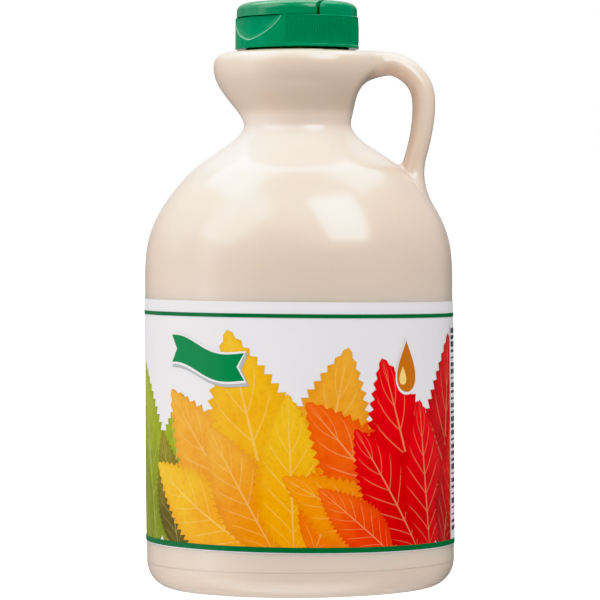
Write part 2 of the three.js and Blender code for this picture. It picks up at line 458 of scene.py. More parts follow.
def cap_field(x, y, z):
    """The skirt, sunk where its ribs stand and scooped for a thumb, and the fixed part of the dome."""
    r = np.hypot(x, y)
    turn = turn_from(x, y, THUMB_TURN)
    ribs_low = CAP_BOTTOM_Z + CAP_LIP_H
    ribs_high = CAP_PART_Z - RIB_END_GAP
    ribbed = fade(np.abs(turn), PLAIN_HALF, PLAIN_HALF + PLAIN_FADE)
    ribbed = ribbed * fade(z, ribs_low, ribs_low + RIB_FADE) * fade(z, ribs_high, ribs_high - RIB_FADE)
    wall = r - SKIRT_R - SKIRT_DRAFT * (CAP_PART_Z - z) + RIB_DEPTH * ribbed
    ends = np.maximum(CAP_BOTTOM_Z - z, z - CAP_PART_Z)
    skirt = smooth_max(wall, ends, EDGE_ROUND)
    across = np.abs(np.clip(turn, -1.4, 1.4)) * SKIRT_R / SCOOP_HALF_WIDTH
    below = np.abs(SCOOP_TOP_Z - z) / SCOOP_DROP
    reach = (across ** SCOOP_BOW + below ** SCOOP_BOW) ** (1.0 / SCOOP_BOW)
    floor = SKIRT_R - SCOOP_DEPTH * np.sqrt(np.clip(1.0 - reach ** 6, 0.0, 1.0))
    scoop = smooth_max(floor - r, (reach - 1.0) * SCOOP_DROP, 0.2)
    skirt = smooth_max(skirt, -scoop, 0.16)
    dome = turned_distance(x, y, z + 0.3 * (z < CAP_PART_Z + 1.0), DOME_OUTLINE)
    rear = smooth_max(dome, SLIT_WIDTH - flap_field(x, y), EDGE_ROUND)
    return smooth_min(skirt, rear, 0.15)


def gradient(field, points, step):
    slope = np.empty_like(points)
    for axis in range(3):
        ahead, behind = points.copy(), points.copy()
        ahead[:, axis] += step
        behind[:, axis] -= step
        slope[:, axis] = (field(*ahead.T) - field(*behind.T)) / (2 * step)
    return slope


def settle(points, field, rounds, step):
    """Moves points on to the zero level of a field."""
    for _ in range(rounds):
        slope = gradient(field, points, step)
        size = np.maximum((slope * slope).sum(axis=1), 0.05)
        move = np.clip(field(*points.T) / size, -0.6, 0.6)
        points -= move[:, None] * slope
    return points


def field_mesh(name, field, turns, radii, heights, material, step=0.02):
    """Closes a mesh round the zero level of a field, on a grid that goes round the axis."""
    count = len(turns)
    t, r, z = np.meshgrid(turns, radii, heights, indexing="ij")
    value = field(r * np.cos(t), r * np.sin(t), z)
    value = np.concatenate([value, value[:1]])
    grid = (np.append(turns, turns[0] + 2 * math.pi), np.asarray(radii), np.asarray(heights))
    inside = value < 0
    corners = [(a, b, c) for a in (0, 1) for b in (0, 1) for c in (0, 1)]
    shape = tuple(n - 1 for n in value.shape)
    full = sum(inside[a:a + shape[0], b:b + shape[1], c:c + shape[2]].astype(int) for a, b, c in corners)
    cells = np.argwhere((full > 0) & (full < 8))
    number = np.full(shape, -1)
    number[tuple(cells.T)] = np.arange(len(cells))
    total = np.zeros((len(cells), 3))
    hits = np.zeros(len(cells))
    for first in corners:
        for axis in range(3):
            if first[axis]:
                continue
            a = cells + np.array(first)
            b = a.copy()
            b[:, axis] += 1
            va, vb = value[tuple(a.T)], value[tuple(b.T)]
            cut = (va < 0) != (vb < 0)
            share = np.where(cut, va / np.where(cut, va - vb, 1.0), 0.0)
            for k in range(3):
                start = grid[k][a[:, k]]
                total[:, k] += cut * (start + share * (grid[k][b[:, k]] - start))
            hits += cut
    total /= hits[:, None]
    turn, radius, height = total.T
    points = np.column_stack((radius * np.cos(turn), radius * np.sin(turn), height))
    points = settle(points, field, 4, step)
    faces = []
    tips = []

    def quads(ring, outward):
        ring = np.column_stack(ring)
        ring[~outward] = ring[~outward][:, ::-1]
        faces.extend(ring[(ring >= 0).all(axis=1)].tolist())

    # Faces across the grid lines that go round
    change = inside[:-1] != inside[1:]
    i, j, k = np.nonzero(change[:, 1:-1, 1:-1])
    j, k = j + 1, k + 1
    ring = [number[i, j - 1, k - 1], number[i, j - 1, k], number[i, j, k], number[i, j, k - 1]]
    quads(ring, inside[i, j, k])
    # Faces across the grid lines that go outwards
    change = inside[:-1, :-1] != inside[:-1, 1:]
    i, j, k = np.nonzero(change[:, :, 1:-1])
    k = k + 1
    h = (i - 1) % count
    ring = [number[h, j, k - 1], number[i, j, k - 1], number[i, j, k], number[h, j, k]]
    quads(ring, inside[i, j, k])
    # Faces across the grid lines that go up, and fans that close the mesh on the axis
    change = inside[:-1, :, :-1] != inside[:-1, :, 1:]
    i, j, k = np.nonzero(change[:, 1:-1])
    j = j + 1
    h = (i - 1) % count
    ring = [number[h, j - 1, k], number[h, j, k], number[i, j, k], number[i, j - 1, k]]
    quads(ring, inside[i, j, k])
    i, k = np.nonzero(change[:, 0])
    for level in np.unique(k):
        tip = len(points) + len(tips)
        here = i[k == level]
        tips.append((0.0, 0.0, points[number[here, 0, level], 2].mean()))
        for column in here:
            fan = [int(number[(column - 1) % count, 0, level]), int(number[column, 0, level]), tip]
            faces.append(fan if inside[column, 0, level] else fan[::-1])
    if tips:
        points = np.vstack([points, tips])
    piece = link_mesh(name, points, faces, material)
    slope = gradient(field, points, 3 * step)
    slope /= np.linalg.norm(slope, axis=1)[:, None]
    piece.data.normals_split_custom_set_from_vertices(slope.tolist())
    return piece


def spaced(*stretches):
    """Grid lines from stretches of (start, end, spacing)."""
    lines = []
    for start, end, gap in stretches:
        lines.extend(np.linspace(start, end, max(1, round((end - start) / gap)), endpoint=False))
    return np.array(lines + [stretches[-1][1]])


# Jug and closure

def make_jug(material):
    fine = math.radians(16.0)
    wide_step = math.radians(2.0)
    fine_step = math.radians(0.8)
    turns = spaced((-math.pi, -fine, wide_step), (-fine, fine, fine_step), (fine, math.pi, wide_step))[:-1]
    radii = spaced((1.5, 14.0, 2.1), (14.0, 48.0, 0.85), (48.0, 53.0, 1.0))
    heights = spaced((-1.5, 12.0, 0.75), (12.0, 98.0, 2.4), (98.0, 128.0, 1.3), (128.0, 176.0, 0.75))
    return field_mesh("jug_body", jug_field, turns, radii, heights, material)


def make_cap(material):
    fine = PLAIN_HALF + math.radians(2.0)
    turns = spaced(
        (THUMB_TURN - fine, THUMB_TURN + fine, math.radians(0.55)),
        (THUMB_TURN + fine, THUMB_TURN + 2 * math.pi - fine, math.radians(1.0)),
    )[:-1]
    radii = spaced((1.2, 6.0, 1.6), (6.0, 17.6, 0.42), (17.6, 21.2, 0.24))
    heights = spaced((174.1, 176.0, 0.2), (176.0, 184.2, 0.22), (184.2, 186.0, 0.15), (186.0, 191.0, 0.35))
    return field_mesh("cap_shell", cap_field, turns, radii, heights, material)


def make_lid(material):
    turns = spaced((THUMB_TURN - math.pi, THUMB_TURN + math.pi, math.radians(0.95)))[:-1]
    radii = spaced((1.2, 6.0, 1.6), (6.0, 21.2, 0.4))
    heights = spaced((184.6, 186.0, 0.17), (186.0, 191.0, 0.35))
    return field_mesh("flip_lid_shell", lid_field, turns, radii, heights, material)


def geometry_tree(name, inputs):
    """A Geometry Nodes tree with named inputs; returns it with its input sockets and its output node."""
    tree = bpy.data.node_groups.new(name, "GeometryNodeTree")
    tree.interface.new_socket("Geometry", in_out="INPUT", socket_type="NodeSocketGeometry")
    tree.interface.new_socket("Geometry", in_out="OUTPUT", socket_type="NodeSocketGeometry")
    keys = {}
    for label, kind in inputs:
        socket = tree.interface.new_socket(label, in_out="INPUT", socket_type="NodeSocket" + kind)
        keys[label] = socket.identifier
    source = tree.nodes.new("NodeGroupInput")
    return tree, keys, {o.name: o for o in source.outputs}, tree.nodes.new("NodeGroupOutput")


def run_tree(name, tree, keys, values, start=None):
    """Runs a tree on an object and leaves a plain mesh."""
    carrier = bpy.data.objects.new(name + "_carrier", start or bpy.data.meshes.new(name + "_start"))
    bpy.context.scene.collection.objects.link(carrier)
    modifier = carrier.modifiers.new("nodes", "NODES")
    modifier.node_group = tree
    for label, value in values.items():
        modifier[keys[label]] = value
    bpy.context.view_layer.update()
    graph = bpy.context.evaluated_depsgraph_get()
    mesh = bpy.data.meshes.new_from_object(carrier.evaluated_get(graph))
    mesh.name = name
    carrier.modifiers.remove(modifier)
    bpy.data.objects.remove(carrier)
    piece = bpy.data.objects.new(name, mesh)
    bpy.context.scene.collection.objects.link(piece)
    return piece


def finished(tree, given, geometry):
    """Shades geometry smooth inside a tree and gives it its finish."""
    soft = add(tree, "GeometryNodeSetShadeSmooth", {"Geometry": geometry}).outputs[0]
    return add(tree, "GeometryNodeSetMaterial", {"Geometry": soft, "Material": given["Finish"]}).outputs[0]


def make_ribs(material):
    """Round ribs that taper at both ends, all round the skirt but for its plain panel."""
    tree, keys, given, out = geometry_tree("cap_grip_ribs", (
        ("Rib Count", "Int"), ("Rib Ring Radius", "Float"), ("Rib Half Width", "Float"),
        ("Rib Bottom", "Float"), ("Rib Top", "Float"), ("Panel Turn", "Float"),
        ("Panel Half Angle", "Float"), ("Finish", "Material"),
    ))
    index = add(tree, "GeometryNodeInputIndex").outputs[0]
    step = calc(tree, "DIVIDE", 2 * math.pi, given["Rib Count"])
    from_panel = calc(tree, "MULTIPLY", calc(tree, "ADD", index, 0.5), step)
    turn = calc(tree, "ADD", from_panel, given["Panel Turn"])
    radius = given["Rib Ring Radius"]
    place = add(tree, "ShaderNodeCombineXYZ", (
        calc(tree, "MULTIPLY", calc(tree, "COSINE", turn), radius),
        calc(tree, "MULTIPLY", calc(tree, "SINE", turn), radius),
        given["Rib Bottom"],
    )).outputs[0]
    points = add(tree, "GeometryNodePoints", {"Count": given["Rib Count"], "Position": place}).outputs[0]
    from_back = calc(tree, "ABSOLUTE", calc(tree, "SUBTRACT", from_panel, math.pi))
    off = calc(tree, "SUBTRACT", math.pi, from_back)
    on_panel = calc(tree, "LESS_THAN", off, given["Panel Half Angle"])
    kept = add(tree, "GeometryNodeDeleteGeometry", {
        "Geometry": points, "Selection": on_panel,
    }, domain="POINT").outputs[0]
    length = calc(tree, "SUBTRACT", given["Rib Top"], given["Rib Bottom"])
    line = add(tree, "GeometryNodeCurvePrimitiveLine", {
        "Start": (0.0, 0.0, 0.0), "End": add(tree, "ShaderNodeCombineXYZ", (0.0, 0.0, length)).outputs[0],
    }).outputs[0]
    line = add(tree, "GeometryNodeResampleCurve", {"Curve": line, "Count": 7}).outputs[0]
    part = add(tree, "GeometryNodeSplineParameter").outputs["Factor"]
    from_foot = calc(tree, "MULTIPLY", part, 5.0)
    from_head = calc(tree, "MULTIPLY", calc(tree, "SUBTRACT", 1.0, part), 5.0)
    taper = calc(tree, "MINIMUM", calc(tree, "MINIMUM", from_foot, from_head), 1.0)
    width = calc(tree, "MULTIPLY", calc(tree, "MAXIMUM", taper, 0.45), given["Rib Half Width"])
    ring = add(tree, "GeometryNodeCurvePrimitiveCircle", {"Resolution": 8, "Radius": 1.0}).outputs[0]
    rib = add(tree, "GeometryNodeCurveToMesh", {
        "Curve": line, "Profile Curve": ring, "Scale": width, "Fill Caps": True,
    }).outputs[0]
    placed = add(tree, "GeometryNodeInstanceOnPoints", {"Points": kept, "Instance": rib}).outputs[0]
    real = add(tree, "GeometryNodeRealizeInstances", {"Geometry": placed}).outputs[0]
    tree.links.new(finished(tree, given, real), out.inputs[0])
    return run_tree("cap_ribs", tree, keys, {
        "Rib Count": RIB_COUNT,
        "Rib Ring Radius": (SKIRT_R - RIB_DEPTH) * MM,
        "Rib Half Width": 0.5 * RIB_WIDTH * MM,
        "Rib Bottom": (CAP_BOTTOM_Z + CAP_LIP_H - 0.1) * MM,
        "Rib Top": (CAP_PART_Z - 0.45) * MM,
        "Panel Turn": THUMB_TURN,
        "Panel Half Angle": PLAIN_HALF,
        "Finish": material,
    })


# Label: flat places are (distance round from the front, height above its lower edge)

def wrap(flat, lift):
    """Bends flat label points round the jug."""
    flat = np.asarray(flat, float)
    turn = flat[:, 0] / LABEL_R
    radius = LABEL_R + lift
    x = radius * np.sin(turn)
    y = -radius * np.cos(turn)
    z = flat[:, 1] + LABEL_BOTTOM_Z - LABEL_SKEW * x
    return np.column_stack((x, y, z))


LAP = math.radians(7.0)
LAP_LIFT = 0.16
LAP_RISE = 0.05


def lap_lift(turn):
    """Lift of the label's end over its beginning, at the back."""
    return LAP_LIFT * eased(turn, math.pi - LAP_RISE, math.pi)


def make_label(material):
    """The sheet itself, with softened edges, from the back round to its lap."""
    columns = 288
    turn = np.linspace(-math.pi, math.pi + LAP, columns + 1)
    lift = lap_lift(turn)
    edge = 0.04
    section = [
        (-LABEL_THICK, 0.0), (-edge, 0.0), (0.0, edge),
        (0.0, LABEL_H - edge), (-edge, LABEL_H), (-LABEL_THICK, LABEL_H),
    ]
    rows = []
    for radial, height in section:
        flat = np.column_stack((turn * LABEL_R, np.full(turn.shape, height)))
        rows.append(wrap(flat, np.minimum(radial + lift, lift)))
    points = np.vstack(rows)
    faces = []
    n = columns + 1
    m = len(section)
    for a in range(m):
        b = (a + 1) % m
        for c in range(columns):
            faces.append((a * n + c, a * n + c + 1, b * n + c + 1, b * n + c))
    faces.append(tuple(a * n for a in range(m)))
    faces.append(tuple(a * n + columns for a in reversed(range(m))))
    return link_mesh("label_sheet", points, faces, material, smooth=False)


def strip_faces(rows, columns):
    """Faces of a grid of points."""
    return [
        (r * columns + c, r * columns + c + 1, (r + 1) * columns + c + 1, (r + 1) * columns + c)
        for r in range(rows - 1) for c in range(columns - 1)
    ]


def printed(name, patches, material, lift):
    """One printed piece made of patches, each (points, rows, columns) laid flat."""
    points, faces = [], []
    for flat, rows, columns in patches:
        start = sum(len(p) for p in points)
        points.append(wrap(flat, lift + lap_lift(np.array(flat)[:, 0] / LABEL_R)))
        faces.extend(tuple(start + v for v in face) for face in strip_faces(rows, columns))
    return link_mesh(name, np.vstack(points), faces, material)


def band(left, right, low, high):
    """A plain rectangle of print."""
    columns = max(2, int((right - left) / 1.2) + 1)
    across = np.linspace(left, right, columns)
    flat = [(u, v) for v in (low, high) for u in across]
    return flat, 2, columns


HALF_ROUND = math.pi * LABEL_R
LEAF_HALF_WIDTH = 0.235
LEAF_TOOTH = 0.036


def leaf_template():
    """A flat oval leaf with a toothed edge, one long, with its stem at the origin, pointing along Y."""
    rows = 45
    half_columns = 12
    columns = 2 * half_columns + 1
    points, places = [], []
    for i in range(rows):
        s = i / (rows - 1)
        half = LEAF_HALF_WIDTH * math.sin(math.pi * s ** 0.78) ** 0.85 * (1.0 - 0.18 * s)
        tooth = LEAF_TOOTH * (i % 2) * math.sin(math.pi * s) ** 0.6
        for c in range(columns):
            t = c / half_columns - 1.0
            out = half * t + math.copysign(tooth * abs(t) ** 6, t) * 0.9
            rise = 0.5 * tooth * abs(t) ** 6
            points.append((out, s + rise, 0.0))
            places.append((s, t, 0.0))
    mesh = bpy.data.meshes.new("leaf_template")
    mesh.from_pydata((np.array(points) * MM).tolist(), [], strip_faces(rows, columns))
    store = mesh.attributes.new("leaf_place", "FLOAT_VECTOR", "POINT")
    store.data.foreach_set("vector", np.array(places, np.float32).ravel())
    mesh.update()
    return mesh


GREEN = ((0.20, 0.25, 0.003), (0.36, 0.42, 0.012))
OLIVE = ((0.12, 0.085, 0.005), (0.27, 0.22, 0.010))
GOLD = ((0.86, 0.33, 0.004), (0.88, 0.48, 0.018))
HONEY = ((0.80, 0.25, 0.004), (0.86, 0.38, 0.030))
AMBER = ((0.84, 0.17, 0.004), (0.90, 0.29, 0.008))
FLAME = ((0.80, 0.035, 0.005), (0.90, 0.13, 0.010))
RED = ((0.62, 0.0, 0.004), (0.80, 0.004, 0.010))
CRIMSON = ((0.42, 0.0, 0.003), (0.66, 0.002, 0.006))

# Leaves, the hindmost first: stem place round and up, lean in degrees to the right, length, tints
LEAVES = (
    (-56, 0, -34, 56, OLIVE), (-46, 0, 40, 44, OLIVE), (-58, 0, -12, 60, GREEN), (-50, 0, 10, 50, GREEN),
    (-64, 0, -30, 46, GREEN), (-44, 0, -14, 38, OLIVE), (-96, 0, -14, 52, GREEN), (-88, 0, 16, 46, OLIVE),
    (-8, 0, -38, 64, HONEY), (-6, 0, -14, 72, GOLD), (2, 0, 12, 66, HONEY), (6, 0, 34, 60, AMBER),
    (-14, 0, -58, 50, GOLD), (-8, 0, -30, 46, HONEY), (-2, 0, -2, 50, GOLD), (4, 0, 22, 44, AMBER),
    (42, 0, -40, 62, FLAME), (46, 0, -17, 64, RED), (56, 0, 6, 69, CRIMSON), (61, 0, 20, 62, RED),
    (36, 0, -60, 48, AMBER), (42, 0, -32, 46, RED), (48, 0, -6, 48, RED), (57, 0, 18, 44, CRIMSON),
    (30, 0, -50, 32, FLAME), (74, 0, 4, 52, CRIMSON), (72, 0, -12, 40, RED),
)
LEAF_LAYER = 0.005
TOP_LIFT = INK + LEAF_LAYER * (len(LEAVES) + 1)


LABEL_INPUTS = (
    ("Label Radius", "Float"), ("Base Height", "Float"), ("Skew", "Float"), ("Finish", "Material"),
)


def label_values(material):
    """What the trees that print on the label are all given."""
    return {
        "Label Radius": LABEL_R * MM,
        "Base Height": LABEL_BOTTOM_Z * MM,
        "Skew": LABEL_SKEW,
        "Finish": material,
    }


def bend_on_label(tree, given, flat_print):
    """Bends flat print round the jug inside a tree, and gives it its finish."""
    flat = add(tree, "ShaderNodeSeparateXYZ", (add(tree, "GeometryNodeInputPosition").outputs[0],)).outputs
    turn = calc(tree, "DIVIDE", flat[0], given["Label Radius"])
    radius = calc(tree, "ADD", given["Label Radius"], flat[2])
    x = calc(tree, "MULTIPLY", radius, calc(tree, "SINE", turn))
    y = calc(tree, "MULTIPLY", radius, calc(tree, "MULTIPLY", calc(tree, "COSINE", turn), -1.0))
    up = flat[1]
    if "Lowest" in given:
        up = calc(tree, "MAXIMUM", up, given["Lowest"])
    up = calc(tree, "ADD", up, given["Base Height"])
    z = calc(tree, "SUBTRACT", up, calc(tree, "MULTIPLY", x, given["Skew"]))
    place = add(tree, "ShaderNodeCombineXYZ", (x, y, z)).outputs[0]
    bent = add(tree, "GeometryNodeSetPosition", {"Geometry": flat_print, "Position": place}).outputs[0]
    return finished(tree, given, bent)


def make_leaves(material):
    """Sprays of one leaf, each at its own place, lean, length and tints."""
    inputs = (("Leaf", "Object"), ("Lowest", "Float"))
    tree, keys, given, out = geometry_tree("leaf_sprays", inputs + LABEL_INPUTS)
    leaf = add(tree, "GeometryNodeObjectInfo", {"Object": given["Leaf"]}).outputs["Geometry"]
    lean = add(tree, "GeometryNodeInputNamedAttribute", {"Name": "lean"}, data_type="FLOAT").outputs[0]
    size = add(tree, "GeometryNodeInputNamedAttribute", {"Name": "length"}, data_type="FLOAT").outputs[0]
    turned = add(tree, "ShaderNodeCombineXYZ", (0.0, 0.0, calc(tree, "MULTIPLY", lean, -1.0))).outputs[0]
    placed = add(tree, "GeometryNodeInstanceOnPoints", {
        "Points": given["Geometry"], "Instance": leaf, "Rotation": turned, "Scale": size,
    }).outputs[0]
    real = add(tree, "GeometryNodeRealizeInstances", {"Geometry": placed}).outputs[0]
    tree.links.new(bend_on_label(tree, given, real), out.inputs[0])
    stems = bpy.data.meshes.new("leaf_stems")
    spots = [(u * MM, v * MM, (INK + LEAF_LAYER * n) * MM) for n, (u, v, *_) in enumerate(LEAVES)]
    stems.from_pydata(spots, [], [])
    leans = [math.radians(entry[2]) for entry in LEAVES]
    lengths = [entry[3] for entry in LEAVES]
    for label, values in (("lean", leans), ("length", lengths)):
        stems.attributes.new(label, "FLOAT", "POINT").data.foreach_set("value", values)
    for label, pick in (("root_tint", 0), ("tip_tint", 1)):
        tints = np.array([entry[4][pick] + (1.0,) for entry in LEAVES], np.float32)
        stems.attributes.new(label, "FLOAT_COLOR", "POINT").data.foreach_set("color", tints.ravel())
    template = bpy.data.objects.new("leaf_template", leaf_template())
    values = {"Leaf": template, "Lowest": 1.0 * MM, **label_values(material)}
    piece = run_tree("label_leaves", tree, keys, values, stems)
    bpy.data.objects.remove(template)
    return piece


STRIPES = ((0.35, 2.0), (73.76, 74.96))


def make_stripes(material):
    """A line round the label near each of its edges."""
    lap = LAP * LABEL_R
    rounds = [band(-HALF_ROUND + lap, HALF_ROUND + lap, low, high) for low, high in STRIPES]
    return printed("label_stripes", rounds, material, TOP_LIFT)


RIBBON_LEFT = -46.5
RIBBON_LENGTH = 29.0
RIBBON_HALF = 4.3
RIBBON_MIDDLE = 60.2
RIBBON_FALL = 5.2
RIBBON_WAVE = 1.3
RIBBON_NOTCH = 2.6
RIBBON_NOTCH_PART = 0.16


def ribbon_patch(grow=0.0, shift=(0.0, 0.0)):
    """A waving ribbon with a notch at each end."""
    rows, columns = 9, 41
    flat = []
    for t in np.linspace(-1.0, 1.0, rows):
        for s in np.linspace(0.0, 1.0, columns):
            left_end = max(0.0, 1.0 - s / RIBBON_NOTCH_PART)
            right_end = max(0.0, 1.0 - (1.0 - s) / RIBBON_NOTCH_PART)
            notch = RIBBON_NOTCH * (left_end - right_end) * (1.0 - abs(t))
            u = RIBBON_LEFT - grow + s * (RIBBON_LENGTH + 2 * grow) + notch
            wave = RIBBON_WAVE * math.sin(2 * math.pi * (s + 0.08))
            middle = RIBBON_MIDDLE - RIBBON_FALL * (s - 0.5) + wave
            flat.append((u + shift[0], middle + t * (RIBBON_HALF + grow) + shift[1]))
    return flat, rows, columns


DROP_PLACE = (37.0, 58.6)
DROP_SIZE = (5.6, 8.2)


def drop_patch(size=1.0, shift=(0.0, 0.0)):
    """A drop shape, made of rings round its middle."""
    rows, columns = 7, 49
    low = -0.25
    middle = (DROP_PLACE[0] + shift[0], DROP_PLACE[1] + shift[1] + DROP_SIZE[1] * low)
    flat = []
    for part in np.linspace(0.02, size, rows):
        for turn in np.linspace(0.0, 2 * math.pi, columns):
            u = DROP_SIZE[0] * math.sin(turn) * math.sin(turn / 2) ** 1.4
            v = DROP_SIZE[1] * (math.cos(turn) - low)
            flat.append((middle[0] + part * u, middle[1] + part * v))
    return flat, rows, columns


PANEL = (103.0, 148.0, 10.0, 66.0)


def panel_patches():
    """A ruled blank panel for the back of the label."""
    left, right, low, high = PANEL
    line = 0.5
    frame_lines = [
        band(left, right, low, low + line), band(left, right, high - line, high),
        band(left, left + line, low, high), band(right - line, right, low, high),
    ]
    rules = [band(left + 2.5, right - 2.5, v, v + 0.22) for v in np.linspace(low + 6.0, high - 12.0, 9)]
    return frame_lines + rules + [band(left + 2.5, right - 2.5, high - 7.4, high - 5.8)]


def make_bars(material):
    """A ladder of bars of uneven height at the right-hand end of the front."""
    inputs = (
        ("Bar Count", "Int"), ("Pitch", "Float"), ("Bar Length", "Float"), ("Start Round", "Float"),
        ("Start Up", "Float"), ("Thinnest", "Float"), ("Thickest", "Float"), ("Seed", "Int"),
        ("Lift", "Float"),
    )
    tree, keys, given, out = geometry_tree("bar_ladder", inputs + LABEL_INPUTS)
    index = add(tree, "GeometryNodeInputIndex").outputs[0]
    up = calc(tree, "ADD", given["Start Up"], calc(tree, "MULTIPLY", index, given["Pitch"]))
    spot = add(tree, "ShaderNodeCombineXYZ", (given["Start Round"], up, given["Lift"])).outputs[0]
    points = add(tree, "GeometryNodePoints", {"Count": given["Bar Count"], "Position": spot}).outputs[0]
    bar = add(tree, "GeometryNodeMeshGrid", {
        "Size X": given["Bar Length"], "Size Y": 1.0, "Vertices X": 18, "Vertices Y": 2,
    }).outputs[0]
    height = add(tree, "FunctionNodeRandomValue", {
        2: given["Thinnest"], 3: given["Thickest"], "Seed": given["Seed"],
    }, data_type="FLOAT")
    size = add(tree, "ShaderNodeCombineXYZ", (1.0, height.outputs[1], 1.0)).outputs[0]
    placed = add(tree, "GeometryNodeInstanceOnPoints", {
        "Points": points, "Instance": bar, "Scale": size,
    }).outputs[0]
    real = add(tree, "GeometryNodeRealizeInstances", {"Geometry": placed}).outputs[0]
    tree.links.new(bend_on_label(tree, given, real), out.inputs[0])
    return run_tree("label_bars", tree, keys, {
        "Bar Count": 30,
        "Pitch": 2.2 * MM,
        "Bar Length": 24.0 * MM,
        "Start Round": 78.5 * MM,
        "Start Up": 5.5 * MM,
        "Thinnest": 0.4 * MM,
        "Thickest": 1.8 * MM,
        "Seed": 7,
        "Lift": TOP_LIFT * MM,
        **label_values(material),
    })


BAR_GROUND = (65.0, 92.5, 1.9, 71.4)


def make_print(paper, green_ink, shade_ink, amber_ink, glint_ink):
    """The bars' ground, the ribbon and the drop with their white edges, and the ruled panel."""
    lift = TOP_LIFT + INK
    return [
        printed("bar_ground", [band(*BAR_GROUND)], paper, TOP_LIFT - 0.004),
        printed("ribbon_shade", [ribbon_patch(0.9, (0.7, -0.8))], shade_ink, lift),
        printed("ribbon_edge", [ribbon_patch(0.7)], paper, lift + INK),
        printed("ribbon_face", [ribbon_patch()], green_ink, lift + 2 * INK),
        printed("drop_edge", [drop_patch(1.14)], paper, lift + INK),
        printed("drop_face", [drop_patch()], amber_ink, lift + 2 * INK),
        printed("drop_glint", [drop_patch(0.36, (-1.6, -1.6))], glint_ink, lift + 3 * INK),
        printed("back_panel_lines", panel_patches(), green_ink, lift),
    ]


def make_beads(name, points, edges, radius, material):
    """Fine round beads along paths."""
    inputs = (("Bead Radius", "Float"), ("Finish", "Material"))
    tree, keys, given, out = geometry_tree(name + "_beads", inputs)
    line = add(tree, "GeometryNodeMeshToCurve", {"Mesh": given["Geometry"]}).outputs[0]
    ring = add(tree, "GeometryNodeCurvePrimitiveCircle", {
        "Resolution": 8, "Radius": given["Bead Radius"],
    }).outputs[0]
    bead = add(tree, "GeometryNodeCurveToMesh", {
        "Curve": line, "Profile Curve": ring, "Fill Caps": True,
    }).outputs[0]
    tree.links.new(finished(tree, given, bead), out.inputs[0])
    start = bpy.data.meshes.new(name + "_paths")
    start.from_pydata((np.array(points) * MM).tolist(), edges, [])
    return run_tree(name, tree, keys, {"Bead Radius": radius * MM, "Finish": material}, start)


def make_scoop_rim(material):
    """The edge of the thumb scoop, a fine bead whose lighter green is a painted highlight."""
    share = np.sin(np.linspace(-0.5, 0.5, 81) * math.pi)
    drop = SCOOP_DROP * (1.0 - np.abs(share) ** SCOOP_BOW) ** (1.0 / SCOOP_BOW)
    turn = THUMB_TURN + share * SCOOP_HALF_WIDTH / SKIRT_R
    z = SCOOP_TOP_Z - drop
    r = SKIRT_R + SKIRT_DRAFT * (CAP_PART_Z - z) - 0.06
    points = np.column_stack((r * np.cos(turn), r * np.sin(turn), z))[z < CAP_PART_Z - 0.2]
    edges = [(n, n + 1) for n in range(len(points) - 1)]
    return make_beads("scoop_rim", points, edges, SCOOP_RIM, material)


def make_mould_lines(material):
    """Where the mould halves met: up both sides, and round the heel."""
    radius, sunk, heel_sunk = 0.16, 0.1, 0.135
    low, high = HEEL_RISE, COLLAR[1] + 3.0
    side = JUG_OUTLINE[(JUG_OUTLINE[:, 1] > low) & (JUG_OUTLINE[:, 1] < high)]
    left = [(-(r - sunk), 0.0, z) for r, z in side]
    right = [(r - sunk, 0.0, z) for r, z in side if z < SHOULDER_END[1] - 6.0]
    turns = np.linspace(0.0, 2 * math.pi, 144, endpoint=False)
    ring = BODY_R - heel_sunk
    heel = [(ring * math.cos(t), ring * math.sin(t), HEEL_RISE - 0.4) for t in turns]
    points, edges = [], []
    for run, closed in ((left, False), (right, False), (heel, True)):
        first = len(points)
        points.extend(run)
        edges.extend((first + n, first + n + 1) for n in range(len(run) - 1))
        if closed:
            edges.append((len(points) - 1, first))
    return make_beads("jug_mould_lines", points, edges, radius, material)


# Stage

PICTURE_WIDTH = 600.0
FOCAL_PX = 3476.0
CAMERA_AWAY = 1134.0
EYE_Z = 111.75
AIM = (0.39, 93.15)
ROLL = math.radians(-0.378)

LIT_HEIGHT = 0.11
AMBIENT = 0.457
BLACK_LEVEL = (0.032, 0.018, 0.018)
WHITE_LEVEL = 1.4
KNEE = 0.7
GLOW_CORE = 0.3

# Soft glows round the studio: turn to the right of the front, rise and half width in degrees, level.
# A glow is even over its core, which is a share of its width. A level below zero is a black flag.
GLOWS = (
    (0, -80, 40, 1.0), (30, 45, 38, 0.71), (-120, 45, 38, 0.58), (-60, 45, 38, 0.57), (-90, 8, 38, 0.48),
    (-60, -32, 38, 0.43), (-60, 8, 38, 0.3), (-90, -32, 38, 0.36), (180, 45, 38, 0.33), (180, 24, 34, 0.25),
    (60, 8, 38, 0.16), (156, -8, 30, -0.36), (-158, -8, 25, -0.2),
)


def make_camera():
    """The photograph's view; its focal length is in pixels of the picture."""
    data = bpy.data.cameras.new("camera")
    data.sensor_fit = "HORIZONTAL"
    data.sensor_width = 36.0
    data.lens = FOCAL_PX / PICTURE_WIDTH * data.sensor_width
    data.clip_start = 0.05
    camera = bpy.data.objects.new("camera", data)
    camera.location = (AIM[0] * MM, -CAMERA_AWAY * MM, EYE_Z * MM)
    look = Vector((AIM[0] * MM, 0.0, AIM[1] * MM)) - camera.location
    camera.rotation_mode = "QUATERNION"
    camera.rotation_quaternion = look.to_track_quat("-Z", "Y") @ Quaternion((0, 0, 1), ROLL)
    bpy.context.scene.collection.objects.link(camera)
    bpy.context.scene.camera = camera


def outward(turn, rise):
    """The way out from the jug at a turn to the right of the front and a rise, in degrees."""
    turn, rise = math.radians(turn), math.radians(rise)
    return Vector((math.sin(turn) * math.cos(rise), -math.cos(turn) * math.cos(rise), math.sin(rise)))


